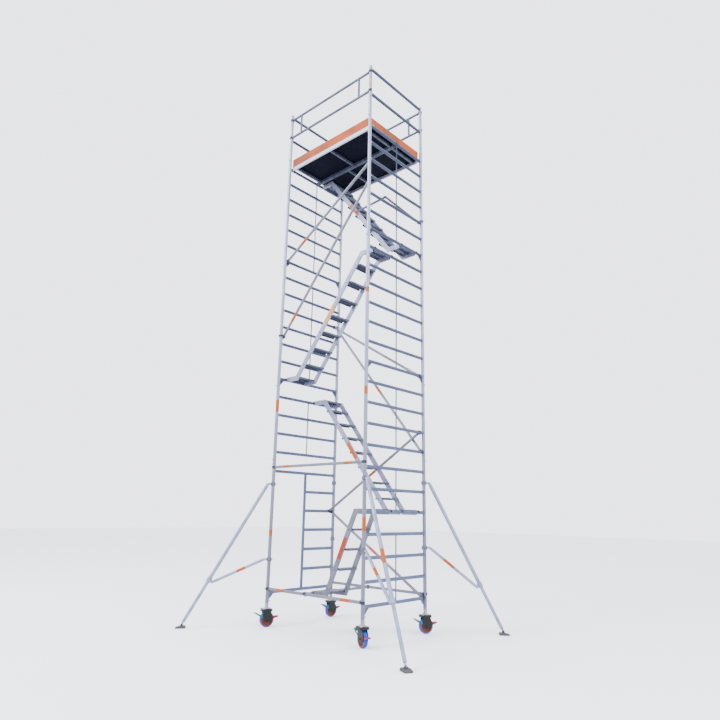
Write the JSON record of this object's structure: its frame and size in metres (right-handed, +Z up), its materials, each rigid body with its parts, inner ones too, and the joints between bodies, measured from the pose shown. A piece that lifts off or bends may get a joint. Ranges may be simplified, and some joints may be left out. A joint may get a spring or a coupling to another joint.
{
  "type": "mobile tower scaffold",
  "caption": "Tall aluminium scaffold tower on braked castors, with stair flights, diagonal braces, splayed stabiliser legs and a guarded platform with toe boards.",
  "frame": {"origin": "on the floor, at the middle of the footprint that the stabiliser pads bound", "axes": "+X along the platform's long side towards the full ladder frame, +Y across the end frames, +Z up"},
  "size_m": [3.7974, 3.1316, 8.22],
  "materials": {
    "aluminium": "drawn tube, lightly dulled",
    "cast_aluminium": "cast, dulled",
    "tread_aluminium": "ribbed plate",
    "zinc_steel": "zinc plated",
    "olive_fork": "dark paint",
    "blue_tyre": "smooth polyurethane",
    "orange_core": "moulded",
    "red_pedal": "moulded",
    "green_pedal": "moulded",
    "grey_rubber": "worn",
    "dark_board": "resin-faced plywood",
    "orange_wood": "painted board"
  },
  "bodies": {
    "root": {"brace_claws": "cast_aluminium", "castor_stems": "zinc_steel", "diagonal_braces": "aluminium", "door_end_frame": "aluminium", "flight_1_stringers": "aluminium", "flight_2_stringers": "aluminium", "flight_3_stringers": "aluminium", "flight_4_stringers": "aluminium", "frame_spigots": "aluminium", "guard_end_frames": "aluminium", "horizontal_braces": "aluminium", "inner_handrail": "aluminium", "ladder_end_frame": "aluminium", "locking_pins": "zinc_steel", "middle_end_frames": "aluminium", "platform_boards": "dark_board", "platform_frames": "aluminium", "short_end_frames": "aluminium", "side_guard_rails": "aluminium", "stair_hooks": "cast_aluminium", "stair_treads": "tread_aluminium", "toe_boards": "orange_wood", "upper_end_frames": "aluminium"},
    "castor_front_left": {"castor_fork_front_left": "olive_fork"},
    "wheel_front_left": {"castor_tyre_front_left": "blue_tyre", "castor_core_front_left": "orange_core"},
    "brake_front_left": {"brake_pedal_front_left": "red_pedal", "release_pedal_front_left": "green_pedal"},
    "stabiliser_front_left": {"stabiliser_couplers_front_left": "cast_aluminium", "stabiliser_frame_front_left": "aluminium"},
    "leg_front_left": {"stabiliser_leg_front_left": "aluminium"},
    "foot_front_left": {"stabiliser_foot_front_left": "grey_rubber"},
    "castor_front_right": {"castor_fork_front_right": "olive_fork"},
    "wheel_front_right": {"castor_tyre_front_right": "blue_tyre", "castor_core_front_right": "orange_core"},
    "brake_front_right": {"brake_pedal_front_right": "red_pedal", "release_pedal_front_right": "green_pedal"},
    "stabiliser_front_right": {"stabiliser_couplers_front_right": "cast_aluminium", "stabiliser_frame_front_right": "aluminium"},
    "leg_front_right": {"stabiliser_leg_front_right": "aluminium"},
    "foot_front_right": {"stabiliser_foot_front_right": "grey_rubber"},
    "castor_back_right": {"castor_fork_back_right": "olive_fork"},
    "wheel_back_right": {"castor_tyre_back_right": "blue_tyre", "castor_core_back_right": "orange_core"},
    "brake_back_right": {"brake_pedal_back_right": "red_pedal", "release_pedal_back_right": "green_pedal"},
    "stabiliser_back_right": {"stabiliser_couplers_back_right": "cast_aluminium", "stabiliser_frame_back_right": "aluminium"},
    "leg_back_right": {"stabiliser_leg_back_right": "aluminium"},
    "foot_back_right": {"stabiliser_foot_back_right": "grey_rubber"},
    "castor_back_left": {"castor_fork_back_left": "olive_fork"},
    "wheel_back_left": {"castor_tyre_back_left": "blue_tyre", "castor_core_back_left": "orange_core"},
    "brake_back_left": {"brake_pedal_back_left": "red_pedal", "release_pedal_back_left": "green_pedal"},
    "stabiliser_back_left": {"stabiliser_couplers_back_left": "cast_aluminium", "stabiliser_frame_back_left": "aluminium"},
    "leg_back_left": {"stabiliser_leg_back_left": "aluminium"},
    "foot_back_left": {"stabiliser_foot_back_left": "grey_rubber"},
    "hatch": {"hatch": "dark_board"}
  },
  "joints": [
    {"name": "castor_swivel_front_left", "type": "hinge", "parent": "root", "child": "castor_front_left", "pos_m": [-1.01514, -0.58777, 0.22], "axis": [0, 0, 1], "continuous": true},
    {"name": "wheel_spin_front_left", "type": "hinge", "parent": "castor_front_left", "child": "wheel_front_left", "pos_m": [-1.0124, -0.58025, 0.1], "axis": [-0.9397, 0.342, 0], "continuous": true},
    {"name": "brake_rocker_front_left", "type": "hinge", "parent": "castor_front_left", "child": "brake_front_left", "pos_m": [-1.0124, -0.58025, 0.1], "axis": [0.9397, -0.342, 0], "range_deg": [0, 16]},
    {"name": "stabiliser_swing_front_left", "type": "hinge", "parent": "root", "child": "stabiliser_front_left", "pos_m": [-1.01514, -0.58777, 1.94], "axis": [0, 0, 1], "range_deg": [-60, 60]},
    {"name": "leg_slide_front_left", "type": "slide", "parent": "stabiliser_front_left", "child": "leg_front_left", "axis": [0.2996, 0.3835, 0.8736], "range_m": [0, 0.4]},
    {"name": "foot_tilt_front_left", "type": "hinge", "parent": "leg_front_left", "child": "foot_front_left", "pos_m": [-1.71084, -1.47822, 0.046], "axis": [0.788, -0.6157, 0], "range_deg": [-20, 20]},
    {"name": "castor_swivel_front_right", "type": "hinge", "parent": "root", "child": "castor_front_right", "pos_m": [0.78486, -0.58777, 0.22], "axis": [0, 0, 1], "continuous": true},
    {"name": "wheel_spin_front_right", "type": "hinge", "parent": "castor_front_right", "child": "wheel_front_right", "pos_m": [0.79238, -0.59051, 0.1], "axis": [0.342, 0.9397, 0], "continuous": true},
    {"name": "brake_rocker_front_right", "type": "hinge", "parent": "castor_front_right", "child": "brake_front_right", "pos_m": [0.79238, -0.59051, 0.1], "axis": [-0.342, -0.9397, 0], "range_deg": [0, 16]},
    {"name": "stabiliser_swing_front_right", "type": "hinge", "parent": "root", "child": "stabiliser_front_right", "pos_m": [0.78486, -0.58777, 1.98], "axis": [0, 0, 1], "range_deg": [-60, 60]},
    {"name": "leg_slide_front_right", "type": "slide", "parent": "stabiliser_front_right", "child": "leg_front_right", "axis": [-0.434, 0.2024, 0.8779], "range_m": [0, 0.4]},
    {"name": "foot_tilt_front_right", "type": "hinge", "parent": "leg_front_right", "child": "foot_front_right", "pos_m": [1.80899, -1.06533, 0.046], "axis": [0.4226, 0.9063, 0], "range_deg": [-20, 20]},
    {"name": "castor_swivel_back_right", "type": "hinge", "parent": "root", "child": "castor_back_right", "pos_m": [0.78486, 0.68223, 0.22], "axis": [0, 0, 1], "continuous": true},
    {"name": "wheel_spin_back_right", "type": "hinge", "parent": "castor_back_right", "child": "wheel_back_right", "pos_m": [0.78811, 0.68954, 0.1], "axis": [-0.9135, 0.4067, 0], "continuous": true},
    {"name": "brake_rocker_back_right", "type": "hinge", "parent": "castor_back_right", "child": "brake_back_right", "pos_m": [0.78811, 0.68954, 0.1], "axis": [0.9135, -0.4067, 0], "range_deg": [0, 16]},
    {"name": "stabiliser_swing_back_right", "type": "hinge", "parent": "root", "child": "stabiliser_back_right", "pos_m": [0.78486, 0.68223, 1.98], "axis": [0, 0, 1], "range_deg": [-60, 60]},
    {"name": "leg_slide_back_right", "type": "slide", "parent": "stabiliser_back_right", "child": "leg_back_right", "axis": [-0.3332, -0.3, 0.8939], "range_m": [0, 0.4]},
    {"name": "foot_tilt_back_right", "type": "hinge", "parent": "leg_back_right", "child": "foot_back_right", "pos_m": [1.56145, 1.38147, 0.046], "axis": [-0.6691, 0.7431, 0], "range_deg": [-20, 20]},
    {"name": "castor_swivel_back_left", "type": "hinge", "parent": "root", "child": "castor_back_left", "pos_m": [-1.01514, 0.68223, 0.22], "axis": [0, 0, 1], "continuous": true},
    {"name": "wheel_spin_back_left", "type": "hinge", "parent": "castor_back_left", "child": "wheel_back_left", "pos_m": [-1.01444, 0.6902, 0.1], "axis": [-0.9962, 0.0872, 0], "continuous": true},
    {"name": "brake_rocker_back_left", "type": "hinge", "parent": "castor_back_left", "child": "brake_back_left", "pos_m": [-1.01444, 0.6902, 0.1], "axis": [0.9962, -0.0872, 0], "range_deg": [0, 16]},
    {"name": "stabiliser_swing_back_left", "type": "hinge", "parent": "root", "child": "stabiliser_back_left", "pos_m": [-1.01514, 0.68223, 2.015], "axis": [0, 0, 1], "range_deg": [-60, 60]},
    {"name": "leg_slide_back_left", "type": "slide", "parent": "stabiliser_back_left", "child": "leg_back_left", "axis": [0.334, -0.334, 0.8814], "range_m": [0, 0.4]},
    {"name": "foot_tilt_back_left", "type": "hinge", "parent": "leg_back_left", "child": "foot_back_left", "pos_m": [-1.81417, 1.48126, 0.046], "axis": [-0.7071, -0.7071, 0], "range_deg": [-20, 20]},
    {"name": "hatch_hinge", "type": "hinge", "parent": "root", "child": "hatch", "pos_m": [-0.11514, 0.58023, 7.2125], "axis": [-1, 0, 0], "range_deg": [0, 100]}
  ]
}
